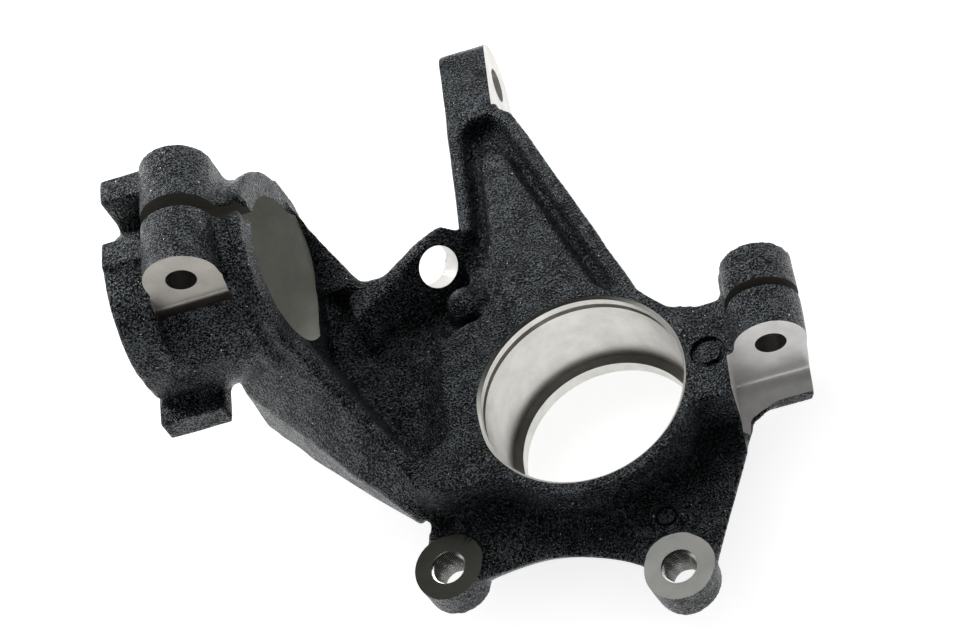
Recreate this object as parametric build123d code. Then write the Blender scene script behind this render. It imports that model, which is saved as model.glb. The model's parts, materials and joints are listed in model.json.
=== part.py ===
from build123d import *

# Front steering knuckle: one iron casting with machined seats.
#
# Frame: the origin is the middle of the wheel-bearing seat. +Z runs along the
# bearing axis towards the middle of the car, +X towards the lower ball joint and
# +Y towards the track-rod arm. The strut clamp is on -X and the two brake-caliper
# ears are on -Y. The shapes are drawn with z = 0 at the hub's inboard face and
# lifted to the frame at the end. All sizes are in millimetres.

import os
from math import cos, radians, sin, sqrt

NODE = "steering_knuckle"

# ---- Hub and wheel-bearing seat -------------------------------------------
BEARING_DIA = 82.0
BEARING_WIDTH = 36.0
BEARING_SETBACK = 6.9          # inboard face to the near side of the bearing
HUB_LENGTH = 48.8
HUB_WALL = 5.5
HUB_DRAFT = 3.0                # growth of the hub's radius below the ear plate
SHOULDER_DIA = 74.2
CIRCLIP_GROOVE_WIDTH = 2.6
CIRCLIP_GROOVE_DEPTH = 2.2
BORE_CHAMFER = 1.2

# ---- Face plate that ties the hub to every arm ------------------------------
PLATE_THICKNESS = 20.0
PLATE_LEFT = -55.0             # edge of the flat beside the strut trough
PLATE_RAMP = 13.0              # width and height of the slope below that edge
NECK_LOW = -20.0               # lower and upper edges of the ball-joint neck
NECK_HIGH = 23.0
NECK_THICKNESS = 27.0
NECK_MARK_AT = (51.3, 0.2)      # plain ring-shaped casting mark
NECK_MARK_RADIUS = 6.8
NECK_MARK_WIDTH = 2.0
NECK_MARK_DEPTH = 1.2

# ---- Track-rod (steering) arm -------------------------------------------------
EYE_Y = 175.7                  # centre of the track-rod hole
EYE_Z = -15.8
EYE_HOLE_DIA = 15.0
EYE_RADIUS = 18.5
ARM_LEFT = -41.0
EYE_FACE_X = -20.0             # machined face of the eye
ARM_SHOULDER_X = -12.0         # where the rough arm starts beside that face
ARM_SHOULDER_Y = 146.0
ARM_ROOT_X = 28.5              # where the arm's long edge meets the hub
ARM_ROOT_Y = 38.0
ARM_DEPTH = 26.0
RECESS_DEPTH = 7.0
RECESS_RIM = 5.2               # width of the rim outside the recess
RECESS_WIDTH = 8.5
RECESS_SLOPE = 22.0            # sides of the recess, degrees from upright
RECESS_TOP_Y = 148.0
RECESS_FOOT_Y = 41.0
KNOB_AT = (-43.5, 59.8, -9.5)  # round knob beside the sensor hole
KNOB_RADIUS = 8.5

# ---- Wheel-speed sensor wall ----------------------------------------------------
SENSOR_HOLE_DIA = 17.5
SENSOR_X = -50.9               # where the hole's axis meets the inner face
SENSOR_Y = 76.4
SENSOR_Z = 0.0
SENSOR_WALL_TOP = 10.0
SENSOR_WALL_THICKNESS = 13.0   # along the hole, between the inner face and the sensor's seat
SENSOR_AXIS = (0.577, -0.66, 0.476)

# ---- Brake-caliper ears -----------------------------------------------------------
EAR_PLATE_TOP = -20.0
EAR_PLATE_THICKNESS = 8.0
EAR_PLATE_DRAFT = 25.0         # slope of the flange's rounded underside, degrees
EAR_BOSS_RADIUS = 13.8
EAR_BOSS_RISE = 2.2            # boss face above the plate
EAR_BOSS_LENGTH = 16.0
EAR_PAD_RISE = 1.2             # raised pads round the bosses
EAR_MARK_AT = (21.5, -54.9)    # plain round casting mark
EAR_MARK_RADIUS = 3.2
EAR_LEFT = (-65.8, -52.2)
EAR_RIGHT = (23.2, -77.4)
CALIPER_THREAD_DIA = 12.8      # core of the tapped holes

# ---- Lower ball-joint clamp ---------------------------------------------------------
BALL_X = 75.7                  # pinch-bolt axis
BALL_BOLT_Z = 0.4
BALL_BOLT_DIA = 12.2
BALL_RADIUS = 14.2
BALL_FACE_Y = -4.0             # spot face under the bolt head
BALL_LENGTH = 38.0
BALL_STUD_DIA = 19.0
BALL_STUD_DROP = 13.8          # stud axis below the bolt axis
BALL_SLOT_WIDTH = 3.8
BALL_BOTTOM_Z = -31.0
BALL_BODY_SHIFT = -5.7         # stud boss from the bolt boss, along X
BALL_BODY_LENGTH = 28.0
BALL_CUTTER_RADIUS = 5.0
BALL_FLOOR_Z = -24.5
BALL_LIP_Y = -13.5

# ---- Strut clamp -----------------------------------------------------------------------
STRUT_DIA = 60.0
STRUT_Y = 67.5
STRUT_Z = 38.0
STRUT_WALL = 9.0
STRUT_MOUTH_X = -102.0
STRUT_LENGTH = 63.0
MOUTH_LIP_WIDTH = 4.5
MOUTH_LIP_RISE = 2.0
MOUTH_TILT = 5.5               # mouth face from square to the barrel, degrees
BARREL_RIB_X = -111.0
BARREL_RIB_WIDTH = 5.0
BARREL_RIB_RISE = 1.6
STRUT_SLOT_WIDTH = 6.3
STRUT_SLOT_SHIFT = 5.3         # slot's middle from the bore's axis, along Y
PINCH_X = -131.7
PINCH_OFFSET = 38.4            # pinch-bolt axis above the strut axis
PINCH_BOLT_DIA = 12.2
PINCH_RADIUS = 15.0
PINCH_FACE_Y = 45.0            # spot face under the bolt head
PINCH_FAR_Y = 101.0
PINCH_FACE_DEPTH = 15.4        # spot face below the bolt axis
PINCH_CUTTER_RADIUS = 3.0
RELIEF_DEPTH = 3.5             # cast relief below the spot face
RELIEF_DROP = 22.0
WING_WIDTH = 12.0
WING_GAP = 20.0                # pocket between the two wings
WING_SHIFT = 15.5              # pocket's middle from the bore's axis, along Y
LUG_LENGTH = 27.5
LUG_REACH = 6.5
LUG_THICKNESS = 11.0
LUG_DROP = 28.0

# ---- Trough from the strut clamp to the hub ------------------------------------------------
FUNNEL_LENGTH = 34.0           # rounded way out of the clamp's mouth
FUNNEL_TAPER = 9.0

EPS = 0.5                      # overshoot of cutters past the skin they break


def prism(points, low, high, radius=0.0):
    """Closed outline in the XY plane, rounded at its corners, from low to high."""
    outline = make_face(Polyline(*points, close=True))
    if radius:
        outline = fillet(outline.vertices(), radius)
    return Pos(0, 0, low) * extrude(outline, high - low)


def rod(start, axis, length, radius):
    """Cylinder that starts at a point and runs along an axis."""
    return extrude(Plane(origin=start, z_dir=axis) * Circle(radius), length)


def block(x0, x1, y0, y1, z0, z1):
    """Box between two corners."""
    return Pos((x0 + x1) / 2, (y0 + y1) / 2, (z0 + z1) / 2) * Box(x1 - x0, y1 - y0, z1 - z0)


# ---- Values worked out from the sizes above --------------------------------------------------
BORE_RADIUS = BEARING_DIA / 2
HUB_RADIUS = BORE_RADIUS + HUB_WALL
SEAT_END_Z = -(BEARING_SETBACK + BEARING_WIDTH)
BALL_TOP_Y = BALL_FACE_Y + BALL_LENGTH
BALL_MID_Y = BALL_FACE_Y + BALL_LENGTH / 2
BALL_STUD_Z = BALL_BOLT_Z - BALL_STUD_DROP
STRUT_RADIUS = STRUT_DIA / 2
BARREL_RADIUS = STRUT_RADIUS + STRUT_WALL
BARREL_END_X = STRUT_MOUTH_X - STRUT_LENGTH
PINCH_Z = STRUT_Z + PINCH_OFFSET
SLOT_LOW_Y = STRUT_Y + STRUT_SLOT_SHIFT - STRUT_SLOT_WIDTH / 2
SLOT_HIGH_Y = SLOT_LOW_Y + STRUT_SLOT_WIDTH
POCKET_LOW_Y = STRUT_Y + WING_SHIFT - WING_GAP / 2
POCKET_HIGH_Y = POCKET_LOW_Y + WING_GAP
PINCH_FLOOR_Z = PINCH_Z - PINCH_FACE_DEPTH


def hub():
    """Turned-looking ring round the bearing seat, thicker below the ear plate."""
    skirt = HUB_RADIUS + HUB_DRAFT
    profile = Polyline(
        (0, 0),
        (HUB_RADIUS, 0),
        (HUB_RADIUS, EAR_PLATE_TOP),
        (skirt, EAR_PLATE_TOP - EAR_PLATE_THICKNESS),
        (skirt - 1.5, -HUB_LENGTH),
        (0, -HUB_LENGTH),
        close=True,
    )
    return revolve(Plane.XZ * make_face(profile), Axis.Z)


def face_plate():
    """Flat at bearing height: left field, hub surround and ball-joint neck."""
    field = [
        (PLATE_LEFT, 38),
        (PLATE_LEFT, -8),
        (-66, -12),
        (-75, -16),
        (-71, -25),
        (-60, -29.5),
        (-34, -31),
        (0, -30),
        (10, 40),
        (-36, 50),
    ]
    neck = [
        (0, NECK_LOW),
        (BALL_X - 16, NECK_LOW),
        (BALL_X - 5, BALL_LIP_Y),
        (BALL_X - 5, NECK_HIGH),
        (50, NECK_HIGH),
        (39, 26.5),
        (ARM_ROOT_X, ARM_ROOT_Y),
        (0, 40),
    ]
    ramp = Polyline(
        (PLATE_LEFT + 8, 0),
        (PLATE_LEFT + 1, 0),
        (PLATE_LEFT - PLATE_RAMP, -PLATE_RAMP),
        (PLATE_LEFT + 8, -PLATE_RAMP),
        close=True,
    )
    slope = extrude(Plane.XZ.offset(9) * make_face(ramp), -46)
    return prism(field, -PLATE_THICKNESS, 0) + prism(neck, -NECK_THICKNESS, 0) + slope


def steering_arm():
    """Tapering arm to the track-rod eye, with its rounded end."""
    outline = [
        (ARM_LEFT, 60),
        (ARM_LEFT, EYE_Y + 2),
        (EYE_FACE_X, EYE_Y + 2),
        (EYE_FACE_X, ARM_SHOULDER_Y + 6),
        (ARM_SHOULDER_X, ARM_SHOULDER_Y),
        (ARM_ROOT_X, ARM_ROOT_Y),
        (10, 20),
        (-30, 30),
    ]
    eye = rod((ARM_LEFT, EYE_Y, EYE_Z), (1, 0, 0), EYE_FACE_X - ARM_LEFT, EYE_RADIUS)
    above = block(ARM_LEFT - 1, EYE_FACE_X + 1, EYE_Y - 30, EYE_Y + 30, 0, 20)
    return prism(outline, -ARM_DEPTH, 0) + (eye - above)


def arm_recess():
    """Channel between the arm's rim and its raised middle, open towards the trough."""
    slope = (ARM_ROOT_X - ARM_SHOULDER_X) / (ARM_SHOULDER_Y - ARM_ROOT_Y)
    stretch = sqrt(1 + slope * slope)

    def long_edge(y, inset):
        return ARM_SHOULDER_X + (ARM_SHOULDER_Y - y) * slope - inset * stretch

    rim_left = ARM_LEFT + RECESS_RIM
    web_left = rim_left + RECESS_WIDTH
    web_inset = RECESS_RIM + RECESS_WIDTH
    web_top = RECESS_TOP_Y - 20
    top_right = long_edge(RECESS_TOP_Y - 8, RECESS_RIM)
    foot_right = long_edge(RECESS_FOOT_Y, RECESS_RIM)
    outer = make_face(Polyline(
        (rim_left, 92),
        (rim_left, RECESS_TOP_Y - 6),
        (rim_left + 6, RECESS_TOP_Y),
        (top_right - 5, RECESS_TOP_Y),
        (top_right, RECESS_TOP_Y - 8),
        (foot_right, RECESS_FOOT_Y),
        (-54, 35),
        (-72, 35),
        (-72, 68),
        (-50, 86),
        close=True,
    ))
    web = make_face(Polyline(
        (-58, 30),
        (-56.5, 39.5),
        (-48.5, 42.5),
        (-36, 45.5),
        (-30.5, 53.5),
        (-33.8, 66),
        (web_left - 1, 80),
        (web_left, 96),
        (web_left, web_top - 7),
        (web_left + 3, web_top),
        (long_edge(web_top - 5, web_inset), web_top - 5),
        (long_edge(RECESS_FOOT_Y + 6, web_inset), RECESS_FOOT_Y + 6),
        (long_edge(RECESS_FOOT_Y, web_inset - 4), RECESS_FOOT_Y),
        (foot_right, RECESS_FOOT_Y - 5),
        (foot_right, 20),
        (-58, 20),
        close=True,
    ))
    channel = Pos(0, 0, EPS) * extrude(outer, -RECESS_DEPTH - EPS, taper=RECESS_SLOPE)
    return channel - Pos(0, 0, EPS) * extrude(web, -RECESS_DEPTH - 2 * EPS, taper=-RECESS_SLOPE)


def knob():
    """Round knob in the mouth of the channel."""
    return Pos(*KNOB_AT) * Sphere(KNOB_RADIUS)


def sensor_wall():
    """Upright wall beside the trough, sloped square to the wheel-speed sensor hole."""
    plan = [
        (-88, 66),
        (-84, 73),
        (-72, 72.5),
        (-57, 84.5),
        (-49, 88.5),
        (ARM_LEFT + 3, 90),
        (ARM_LEFT + 3, 62),
        (-60, 50),
        (-84, 46),
    ]
    wall = prism(plan, -24, SENSOR_WALL_TOP)
    face = Plane(
        origin=(SENSOR_X, SENSOR_Y, SENSOR_Z),
        x_dir=(SENSOR_AXIS[1], -SENSOR_AXIS[0], 0),
        z_dir=SENSOR_AXIS,
    )
    seat = face * Pos(0, 0, -SENSOR_WALL_THICKNESS - 50) * Box(160, 160, 100)
    return wall - face * Pos(0, 0, 50) * Box(160, 160, 100) - seat


def neck_mark():
    """Shallow ring sunk into the ball-joint neck."""
    ring = Circle(NECK_MARK_RADIUS) - Circle(NECK_MARK_RADIUS - NECK_MARK_WIDTH)
    return Pos(*NECK_MARK_AT, EPS) * extrude(ring, -NECK_MARK_DEPTH - EPS)


def ear_plate():
    """Flange that carries both caliper bosses, arched between them."""
    left, right = EAR_LEFT, EAR_RIGHT
    edges = [
        Polyline(
            (right[0] - 12, right[1] + 3),
            right,
            (right[0] + EAR_BOSS_RADIUS - 1, right[1] - 5),
            (62.5, NECK_LOW - 2),
            (60, NECK_LOW + 8),
            (40, 0),
            (-60, 0),
            (-76, -22),
            (-72.5, -30),
            (left[0] - EAR_BOSS_RADIUS + 4, left[1] + 9),
            left,
            (left[0] + 12, left[1] - 9),
        ),
        ThreePointArc(
            (left[0] + 12, left[1] - 9),
            (-22, -59.5),
            (right[0] - 12, right[1] + 3),
        ),
    ]
    plate = Pos(0, 0, EAR_PLATE_TOP) * extrude(
        make_face(edges), -EAR_PLATE_THICKNESS, taper=EAR_PLATE_DRAFT
    )
    pad_top = EAR_PLATE_TOP + EAR_PAD_RISE
    right_pad = [(3, -51), (9.8, -67.4), (20, -74), (29.6, -63.5), (35.4, -39), (10, -35)]
    left_pad = [(-29, -42), (-41.8, -52.3), (-53, -51.5), (-62, -44), (-58, -25), (-25, -30)]
    plate += prism(right_pad, EAR_PLATE_TOP - 2, pad_top)
    plate += prism(left_pad, EAR_PLATE_TOP - 2, pad_top)
    ring = Circle(EAR_MARK_RADIUS) - Circle(EAR_MARK_RADIUS - 1.4)
    plate += Pos(*EAR_MARK_AT, pad_top) * extrude(ring, 0.8)
    for x, y in (left, right):
        top = EAR_PLATE_TOP + EAR_BOSS_RISE
        boss = Circle(EAR_BOSS_RADIUS)
        plate += Pos(x, y, top) * extrude(boss, -EAR_BOSS_LENGTH, taper=4)
    return plate


def ball_joint_boss():
    """Rough boss round the pinch bolt and the ball stud, before machining."""
    x0 = BALL_X + BALL_BODY_SHIFT - BALL_BODY_LENGTH / 2
    x1 = x0 + BALL_BODY_LENGTH
    section = Polyline(
        (BALL_X - BALL_RADIUS, BALL_BOLT_Z),
        (x0, BALL_FLOOR_Z),
        (x0 + 3, BALL_BOTTOM_Z),
        (x1, BALL_BOTTOM_Z),
        (BALL_X + BALL_RADIUS, BALL_BOLT_Z),
        close=True,
    )
    start = Plane.XZ.offset(-BALL_LIP_Y)
    length = BALL_TOP_Y - BALL_LIP_Y
    body = extrude(start * make_face(section), -length)
    return body + extrude(start * Pos(BALL_X, BALL_BOLT_Z) * Circle(BALL_RADIUS), -length)


def ball_face_cutter():
    """Side-and-face cut that leaves the spot face, its floor and the tool radius."""
    top_x = BALL_X - BALL_RADIUS - 0.2
    section = Polyline(
        (top_x, 40),
        (top_x, BALL_BOLT_Z),
        (BALL_X + BALL_BODY_SHIFT - BALL_BODY_LENGTH / 2 - 0.2, BALL_FLOOR_Z),
        (BALL_X + BALL_RADIUS + 5, BALL_FLOOR_Z),
        (BALL_X + BALL_RADIUS + 5, 40),
        close=True,
    )
    start = Plane.XZ.offset(-BALL_FACE_Y)
    cut = extrude(start * make_face(section), 30)
    corner = cut.edges().filter_by(Axis.X).group_by(Axis.Z)[0].sort_by(Axis.Y)[-1]
    return fillet(corner, BALL_CUTTER_RADIUS)


def mouth_plane(setback=0.0):
    """Plane of the clamp's mouth, leaning a little towards +Z."""
    lean = radians(MOUTH_TILT)
    normal = (cos(lean), 0, sin(lean))
    origin = tuple(
        at - setback * step
        for at, step in zip((STRUT_MOUTH_X, STRUT_Y, STRUT_Z), normal)
    )
    return Plane(origin=origin, x_dir=(0, 1, 0), z_dir=normal)


def strut_clamp():
    """Split barrel round the strut with its two pinch ears, before machining."""
    end = (BARREL_END_X, STRUT_Y, STRUT_Z)
    barrel = rod(end, (1, 0, 0), STRUT_LENGTH + 10, BARREL_RADIUS)
    barrel -= mouth_plane() * Pos(0, 0, 50) * Box(200, 200, 100)
    lip_radius = BARREL_RADIUS + MOUTH_LIP_RISE
    barrel += extrude(mouth_plane() * Circle(lip_radius), -MOUTH_LIP_WIDTH)
    rib_setback = STRUT_MOUTH_X - BARREL_RIB_X
    rib_radius = BARREL_RADIUS + BARREL_RIB_RISE
    barrel += extrude(mouth_plane(rib_setback) * Circle(rib_radius), -BARREL_RIB_WIDTH)
    x0, x1 = PINCH_X - PINCH_RADIUS, PINCH_X + PINCH_RADIUS
    ear_length = PINCH_FAR_Y - PINCH_FACE_Y + 3
    ears = rod((PINCH_X, PINCH_FACE_Y - 3, PINCH_Z), (0, 1, 0), ear_length, PINCH_RADIUS)
    ears += block(x0, x1, PINCH_FACE_Y - 3, PINCH_FAR_Y, STRUT_Z, PINCH_Z)
    wing_top = PINCH_Z + 1.5
    low_y = POCKET_LOW_Y - WING_WIDTH
    high_y = POCKET_HIGH_Y + WING_WIDTH
    wings = block(BARREL_END_X, PINCH_X, low_y, high_y, STRUT_Z, wing_top)
    lug = block(
        BARREL_END_X - 2,
        BARREL_END_X - 2 + LUG_LENGTH,
        STRUT_Y - BARREL_RADIUS - LUG_REACH,
        STRUT_Y - 20,
        STRUT_Z - LUG_DROP,
        STRUT_Z - LUG_DROP + LUG_THICKNESS,
    )
    relief = Polyline(
        (PINCH_FACE_Y - RELIEF_DEPTH, PINCH_FLOOR_Z + EPS),
        (PINCH_FACE_Y - RELIEF_DEPTH, PINCH_FLOOR_Z),
        (PINCH_FACE_Y - RELIEF_DEPTH - 15, PINCH_FLOOR_Z - RELIEF_DROP),
        (PINCH_FACE_Y - 40, PINCH_FLOOR_Z - RELIEF_DROP),
        (PINCH_FACE_Y - 40, PINCH_FLOOR_Z + EPS),
        close=True,
    )
    side = Plane.YZ.offset(x0 - 1)
    return barrel + ears + wings + lug - extrude(side * make_face(relief), x1 - x0 + 2)


def pinch_face_cutter():
    """Plunged spot face under the head of the strut clamp's pinch bolt."""
    cut = block(
        PINCH_X - PINCH_RADIUS - 1,
        PINCH_X + PINCH_RADIUS + 0.5,
        PINCH_FACE_Y - 30,
        PINCH_FACE_Y,
        PINCH_FLOOR_Z,
        PINCH_Z + 30,
    )
    corner = cut.edges().filter_by(Axis.X).group_by(Axis.Z)[0].sort_by(Axis.Y)[-1]
    return fillet(corner, PINCH_CUTTER_RADIUS)


def across(distance, points):
    """Face square to the trough, drawn in its width and height, at one distance."""
    heading = (0.6, -0.8, 0.0)
    width = (0.8, 0.6, 0.0)
    origin = tuple(distance * part for part in heading)
    return Plane(origin=origin, x_dir=width, z_dir=heading) * make_face(
        Polyline(*points, close=True)
    )


def trough():
    """Open channel from the strut clamp's mouth down to the hub."""
    outer = loft([
        across(-146, [(-60, 50), (-72, 14), (-66, 4), (-30, 2), (-20, 20), (-19, 38)]),
        across(-112, [(-66, 55), (-86, 5), (-87, -22), (-26, -14), (-21, 4), (-22, 12)]),
        across(-84, [(-65, 38), (-84, 1), (-85, -24), (-20, -24), (-16, -14), (-18, -8)]),
        across(-50, [(-67, 13), (-82, -4), (-81, -24), (-10, -24), (-6, -14), (-8, -10)]),
        across(-24, [(-69, 0), (-79, -12), (-77, -24), (-10, -24), (-6, -14), (-8, -10)]),
    ], ruled=True)
    inner = loft([
        across(-160, [(-66, 95), (-53, 14), (-34, 10), (-28, 95)]),
        across(-116, [(-66, 95), (-53, 10), (-34, 5), (-28, 95)]),
        across(-84, [(-68, 95), (-54, -4), (-10, -10), (0, 95)]),
        across(-50, [(-76, 95), (-59, -13), (0, -14), (10, 95)]),
        across(-30, [(-80, 95), (-60, -13), (0, -14), (10, 95)]),
    ], ruled=True)
    ahead = mouth_plane() * Pos(0, 0, 100) * Box(400, 400, 200)
    floor = [(-86, 52), (-68, 60), (-40, 80), (-25, 60), (-45, -10), (-72, -14), (-92, 14)]
    funnel = mouth_plane() * Pos(0, 0, FUNNEL_LENGTH / 2) * Cone(
        STRUT_RADIUS + 1, STRUT_RADIUS - FUNNEL_TAPER, FUNNEL_LENGTH
    )
    return outer - (inner & ahead) - funnel + prism(floor, -24, -14)


def machining():
    """Every bore, hole, slot and spot face, as one list of cutters."""
    seat = Polyline(
        (0, EPS),
        (BORE_RADIUS + BORE_CHAMFER + EPS, EPS),
        (BORE_RADIUS, -BORE_CHAMFER),
        (BORE_RADIUS, -BEARING_SETBACK + CIRCLIP_GROOVE_WIDTH),
        (BORE_RADIUS + CIRCLIP_GROOVE_DEPTH, -BEARING_SETBACK + CIRCLIP_GROOVE_WIDTH),
        (BORE_RADIUS + CIRCLIP_GROOVE_DEPTH, -BEARING_SETBACK),
        (BORE_RADIUS, -BEARING_SETBACK),
        (BORE_RADIUS, SEAT_END_Z),
        (SHOULDER_DIA / 2, SEAT_END_Z),
        (SHOULDER_DIA / 2, -HUB_LENGTH - EPS),
        (0, -HUB_LENGTH - EPS),
        close=True,
    )
    cutters = [revolve(Plane.XZ * make_face(seat), Axis.Z)]
    for x, y in (EAR_LEFT, EAR_RIGHT):
        top = EAR_PLATE_TOP + EAR_BOSS_RISE
        cutters.append(rod((x, y, top + EPS), (0, 0, -1), 40, CALIPER_THREAD_DIA / 2))
    cutters.append(rod(
        (ARM_LEFT - EPS, EYE_Y, EYE_Z), (1, 0, 0), EYE_FACE_X - ARM_LEFT + 1, EYE_HOLE_DIA / 2
    ))
    back = tuple(
        start - 40 * step
        for start, step in zip((SENSOR_X, SENSOR_Y, SENSOR_Z), SENSOR_AXIS)
    )
    cutters.append(rod(back, SENSOR_AXIS, 46, SENSOR_HOLE_DIA / 2))
    cutters.append(ball_face_cutter())
    cutters.append(rod(
        (BALL_X, BALL_LIP_Y, BALL_BOLT_Z), (0, 1, 0), BALL_LENGTH + 30, BALL_BOLT_DIA / 2
    ))
    cutters.append(rod(
        (BALL_X - BALL_RADIUS - 4, BALL_MID_Y, BALL_STUD_Z), (1, 0, 0), 50, BALL_STUD_DIA / 2
    ))
    cutters.append(block(
        BALL_X - BALL_RADIUS - 0.2,
        BALL_X + BALL_RADIUS + 5,
        BALL_MID_Y - BALL_SLOT_WIDTH / 2,
        BALL_MID_Y + BALL_SLOT_WIDTH / 2,
        BALL_STUD_Z,
        40,
    ))
    start = (BARREL_END_X - 5, STRUT_Y, STRUT_Z)
    bore = rod(start, (1, 0, 0), STRUT_LENGTH + 10, STRUT_RADIUS)
    cutters.append(bore - mouth_plane() * Pos(0, 0, 50) * Box(200, 200, 100))
    slot_end = PINCH_X - PINCH_RADIUS
    bottom = STRUT_Z + STRUT_RADIUS - 12
    cutters.append(block(
        slot_end - 2, STRUT_MOUTH_X + 9, SLOT_LOW_Y, SLOT_HIGH_Y, bottom, STRUT_Z + 80
    ))
    cutters.append(block(
        BARREL_END_X - 5, slot_end, POCKET_LOW_Y, POCKET_HIGH_Y, bottom, STRUT_Z + 80
    ))
    cutters.append(pinch_face_cutter())
    cutters.append(rod(
        (PINCH_X, PINCH_FACE_Y - 1, PINCH_Z), (0, 1, 0), 80, PINCH_BOLT_DIA / 2
    ))
    return cutters


def knuckle():
    """The whole casting, united and then machined."""
    body = hub() + trough() + face_plate() + steering_arm()
    body -= arm_recess()
    body += sensor_wall() + knob()
    body += ear_plate()
    body += ball_joint_boss()
    body += strut_clamp()
    body -= neck_mark()
    for cutter in machining():
        body -= cutter
    return Pos(0, 0, BEARING_SETBACK + BEARING_WIDTH / 2) * body


if __name__ == "__main__":
    os.makedirs("parts", exist_ok=True)
    export_step(knuckle(), f"parts/{NODE}.step")
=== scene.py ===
"""Steering knuckle: cast blank, machined seats and a plain studio.

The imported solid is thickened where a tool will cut, remeshed and smoothed into
a cast skin, and then every seat, hole, slot and spot face is cut out of it, so
that cut edges stay crisp beside the rounded casting.
"""

import json
import logging
from dataclasses import dataclass, field
from enum import Enum

import bmesh
import bpy
import numpy as np
from mathutils import Matrix

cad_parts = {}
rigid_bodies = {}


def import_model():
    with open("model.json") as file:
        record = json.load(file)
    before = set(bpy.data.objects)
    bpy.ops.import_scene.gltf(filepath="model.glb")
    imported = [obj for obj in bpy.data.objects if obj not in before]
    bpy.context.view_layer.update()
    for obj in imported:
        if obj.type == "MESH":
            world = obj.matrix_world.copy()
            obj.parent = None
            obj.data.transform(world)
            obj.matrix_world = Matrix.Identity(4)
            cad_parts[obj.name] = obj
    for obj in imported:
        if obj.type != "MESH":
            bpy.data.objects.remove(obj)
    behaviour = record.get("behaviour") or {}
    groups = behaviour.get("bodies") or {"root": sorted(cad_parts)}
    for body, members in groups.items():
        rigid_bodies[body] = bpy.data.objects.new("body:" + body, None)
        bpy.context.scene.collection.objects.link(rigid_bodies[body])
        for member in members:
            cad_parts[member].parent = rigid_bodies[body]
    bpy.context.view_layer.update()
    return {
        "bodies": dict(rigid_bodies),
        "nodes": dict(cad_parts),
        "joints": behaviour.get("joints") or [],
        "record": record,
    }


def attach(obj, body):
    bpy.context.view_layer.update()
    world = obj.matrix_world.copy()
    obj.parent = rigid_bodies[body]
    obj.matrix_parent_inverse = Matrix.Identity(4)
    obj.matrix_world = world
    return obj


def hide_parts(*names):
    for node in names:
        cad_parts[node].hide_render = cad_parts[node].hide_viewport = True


LOG = logging.getLogger("knuckle")
MM = 0.001
TAU = 2.0 * np.pi
LIFT = np.array([0.0, 0.0, 24.9])
X_AXIS, Y_AXIS, Z_AXIS = (1, 0, 0), (0, 1, 0), (0, 0, 1)
QUARTER_TURN = 1.5708
SHARP_EDGE_DEG = 34
NODE = "steering_knuckle"


class ToolMark(Enum):
    """Pattern that a cutting tool leaves on a face."""

    BORED = "rings along the axis of a hole"
    FACED = "rings round the centre of a face"
    SAWN = "plain streaks"


@dataclass(frozen=True)
class CastSkin:
    """Black dip coat over sand-cast iron."""

    name: str = "cast_skin"
    high: tuple[float, float, float] = (0.096, 0.107, 0.115)
    low: tuple[float, float, float] = (0.0018, 0.0018, 0.0020)
    chip: tuple[float, float, float] = (0.75, 0.76, 0.76)
    metallic: float = 0.85
    roughness: float = 0.20
    pit_roughness: float = 0.40
    grain_m: float = 0.00080
    relief: float = 1.0
    grain_edge: tuple[float, float] = (0.445, 0.575)
    chip_edge: tuple[float, float] = (0.775, 0.80)
    drift: float = 0.05

    def material(self) -> bpy.types.Material:
        """Build the coat: glossy worm-like grains whose pits are painted black as shade,
        ripples and a few chips.

        Returns:
            The node material.
        """
        sheet = NodeSheet(self.name)
        place = sheet.add("ShaderNodeTexCoord").outputs["Object"]
        grain = sheet.noise(place, 1.0 / self.grain_m, 2.0, 0.55)
        fine = sheet.noise(place, 2.6 / self.grain_m, 2.0, 0.6)
        ripple = sheet.noise(place, 0.11 / self.grain_m, 2.0, 0.5)
        grain_level = sheet.total(grain, sheet.span(ripple, 0.30, 0.70, -self.drift, self.drift))
        # The grain's tone is random, but it runs dark where the grain is low and light where it
        # is high: painted shade in the pits and a painted highlight on the tops.
        tone = sheet.ramp(grain_level, *self.grain_edge, self.low, self.high)
        chips = sheet.noise(place, 0.45 / self.grain_m, 1.0, 0.4)
        tone = sheet.blend(sheet.span(chips, *self.chip_edge, 0.0, 1.0), tone, self.chip)
        sheet.link(tone, sheet.shader.inputs["Base Color"])
        gloss = sheet.span(grain_level, 0.44, 0.60, self.pit_roughness, self.roughness)
        sheet.link(gloss, sheet.shader.inputs["Roughness"])
        sheet.shader.inputs["Metallic"].default_value = self.metallic
        lumps = sheet.noise(place, 0.42 / self.grain_m, 2.0, 0.5)
        wide = sheet.bump(ripple, 0.40, 0.0012, None)
        wide = sheet.bump(lumps, 0.7, 0.0014, wide)
        sand = sheet.bump(grain, self.relief, 0.0013, wide)
        sheet.link(sheet.bump(fine, 0.30, 0.0003, sand), sheet.shader.inputs["Normal"])
        return sheet.material


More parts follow.
